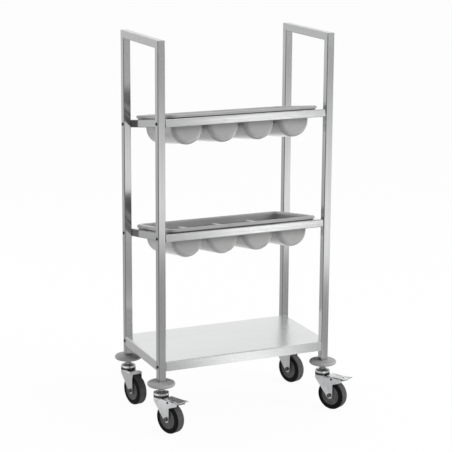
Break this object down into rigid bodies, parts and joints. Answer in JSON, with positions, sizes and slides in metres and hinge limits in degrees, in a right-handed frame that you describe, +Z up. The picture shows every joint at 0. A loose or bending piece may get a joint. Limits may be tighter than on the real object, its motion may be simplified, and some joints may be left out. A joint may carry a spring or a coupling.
{
  "type": "cutlery trolley",
  "caption": "Cutlery trolley of square stainless tube with sloping trays of half-round bays, a folded lower shelf, bumper discs and braked swivel casters.",
  "frame": {"origin": "on the floor, midway between the four uprights", "axes": "+X along the trolley's long side, -Y to the front, where the tray frames are higher and the braked casters stand, +Z up"},
  "size_m": [0.6983, 0.4581, 1.264],
  "materials": {
    "stainless_tube": "brushed along the tube",
    "stainless_sheet": "fine brushed sheet",
    "tray_plastic": "lightly textured moulded plastic",
    "bumper_plastic": "matt soft moulded plastic",
    "plug_plastic": "moulded plastic",
    "zinc_steel": "bright zinc plating on pressed steel",
    "bearing_steel": "ground bright steel",
    "screw_steel": "dull stainless screw heads",
    "hub_plastic": "dark grey moulded plastic",
    "tyre_rubber": "dark grey rubber"
  },
  "bodies": {
    "frame": {"front_left_upright": "stainless_tube", "front_left_bumper": "bumper_plastic", "front_left_caster_head": "zinc_steel", "front_right_upright": "stainless_tube", "front_right_bumper": "bumper_plastic", "front_right_caster_head": "zinc_steel", "rear_left_upright": "stainless_tube", "rear_left_bumper": "bumper_plastic", "rear_left_caster_head": "zinc_steel", "rear_right_upright": "stainless_tube", "rear_right_bumper": "bumper_plastic", "rear_right_caster_head": "zinc_steel", "left_push_bar": "stainless_tube", "right_push_bar": "stainless_tube", "upper_rear_rail": "stainless_tube", "upper_left_rail": "stainless_tube", "upper_front_rail": "stainless_tube", "upper_right_rail": "stainless_tube", "middle_rear_rail": "stainless_tube", "middle_left_rail": "stainless_tube", "middle_front_rail": "stainless_tube", "middle_right_rail": "stainless_tube", "lower_shelf": "stainless_sheet", "frame_screws": "screw_steel", "rivet_nuts": "zinc_steel", "post_plugs": "plug_plastic"},
    "upper_tray": {"upper_cutlery_tray": "tray_plastic"},
    "middle_tray": {"middle_cutlery_tray": "tray_plastic"},
    "front_left_swivel": {"front_left_caster_fork": "zinc_steel", "front_left_swivel_balls": "bearing_steel", "front_left_axle_sleeve": "bearing_steel", "front_left_axle_bolt": "zinc_steel", "front_left_axle_nut": "zinc_steel", "front_left_brake_pin": "bearing_steel"},
    "front_left_wheel": {"front_left_wheel_hub": "hub_plastic", "front_left_tyre": "tyre_rubber"},
    "front_left_brake": {"front_left_brake_pedal": "zinc_steel"},
    "front_right_swivel": {"front_right_caster_fork": "zinc_steel", "front_right_swivel_balls": "bearing_steel", "front_right_axle_sleeve": "bearing_steel", "front_right_axle_bolt": "zinc_steel", "front_right_axle_nut": "zinc_steel", "front_right_brake_pin": "bearing_steel"},
    "front_right_wheel": {"front_right_wheel_hub": "hub_plastic", "front_right_tyre": "tyre_rubber"},
    "front_right_brake": {"front_right_brake_pedal": "zinc_steel"},
    "rear_left_swivel": {"rear_left_caster_fork": "zinc_steel", "rear_left_swivel_balls": "bearing_steel", "rear_left_axle_sleeve": "bearing_steel", "rear_left_axle_bolt": "zinc_steel", "rear_left_axle_nut": "zinc_steel"},
    "rear_left_wheel": {"rear_left_wheel_hub": "hub_plastic", "rear_left_tyre": "tyre_rubber"},
    "rear_right_swivel": {"rear_right_caster_fork": "zinc_steel", "rear_right_swivel_balls": "bearing_steel", "rear_right_axle_sleeve": "bearing_steel", "rear_right_axle_bolt": "zinc_steel", "rear_right_axle_nut": "zinc_steel"},
    "rear_right_wheel": {"rear_right_wheel_hub": "hub_plastic", "rear_right_tyre": "tyre_rubber"}
  },
  "joints": [
    {"name": "upper_tray_lift", "type": "slide", "parent": "frame", "child": "upper_tray", "axis": [0, 0.1564, 0.9877], "range_m": [0, 0.2]},
    {"name": "middle_tray_lift", "type": "slide", "parent": "frame", "child": "middle_tray", "axis": [0, 0.1564, 0.9877], "range_m": [0, 0.15]},
    {"name": "front_left_swivel_turn", "type": "hinge", "parent": "frame", "child": "front_left_swivel", "pos_m": [-0.2925, -0.1525, 0.124], "axis": [0, 0, 1], "continuous": true},
    {"name": "front_left_wheel_roll", "type": "hinge", "parent": "front_left_swivel", "child": "front_left_wheel", "pos_m": [-0.27639, -0.19237, 0.05], "axis": [0.9272, 0.3746, 0], "continuous": true},
    {"name": "front_left_brake_press", "type": "hinge", "parent": "front_left_swivel", "child": "front_left_brake", "pos_m": [-0.27414, -0.19793, 0.1075], "axis": [0.9272, 0.3746, 0], "range_deg": [0, 9]},
    {"name": "front_right_swivel_turn", "type": "hinge", "parent": "frame", "child": "front_right_swivel", "pos_m": [0.2925, -0.1525, 0.124], "axis": [0, 0, 1], "continuous": true},
    {"name": "front_right_wheel_roll", "type": "hinge", "parent": "front_right_swivel", "child": "front_right_wheel", "pos_m": [0.31269, -0.19047, 0.05], "axis": [0.8829, 0.4695, 0], "continuous": true},
    {"name": "front_right_brake_press", "type": "hinge", "parent": "front_right_swivel", "child": "front_right_brake", "pos_m": [0.3155, -0.19576, 0.1075], "axis": [0.8829, 0.4695, 0], "range_deg": [0, 9]},
    {"name": "rear_left_swivel_turn", "type": "hinge", "parent": "frame", "child": "rear_left_swivel", "pos_m": [-0.2925, 0.1525, 0.124], "axis": [0, 0, 1], "continuous": true},
    {"name": "rear_left_wheel_roll", "type": "hinge", "parent": "rear_left_swivel", "child": "rear_left_wheel", "pos_m": [-0.28356, 0.11044, 0.05], "axis": [0.9781, 0.2079, 0], "continuous": true},
    {"name": "rear_right_swivel_turn", "type": "hinge", "parent": "frame", "child": "rear_right_swivel", "pos_m": [0.2925, 0.1525, 0.124], "axis": [0, 0, 1], "continuous": true},
    {"name": "rear_right_wheel_roll", "type": "hinge", "parent": "rear_right_swivel", "child": "rear_right_wheel", "pos_m": [0.30579, 0.1116, 0.05], "axis": [0.9511, 0.309, 0], "continuous": true}
  ]
}
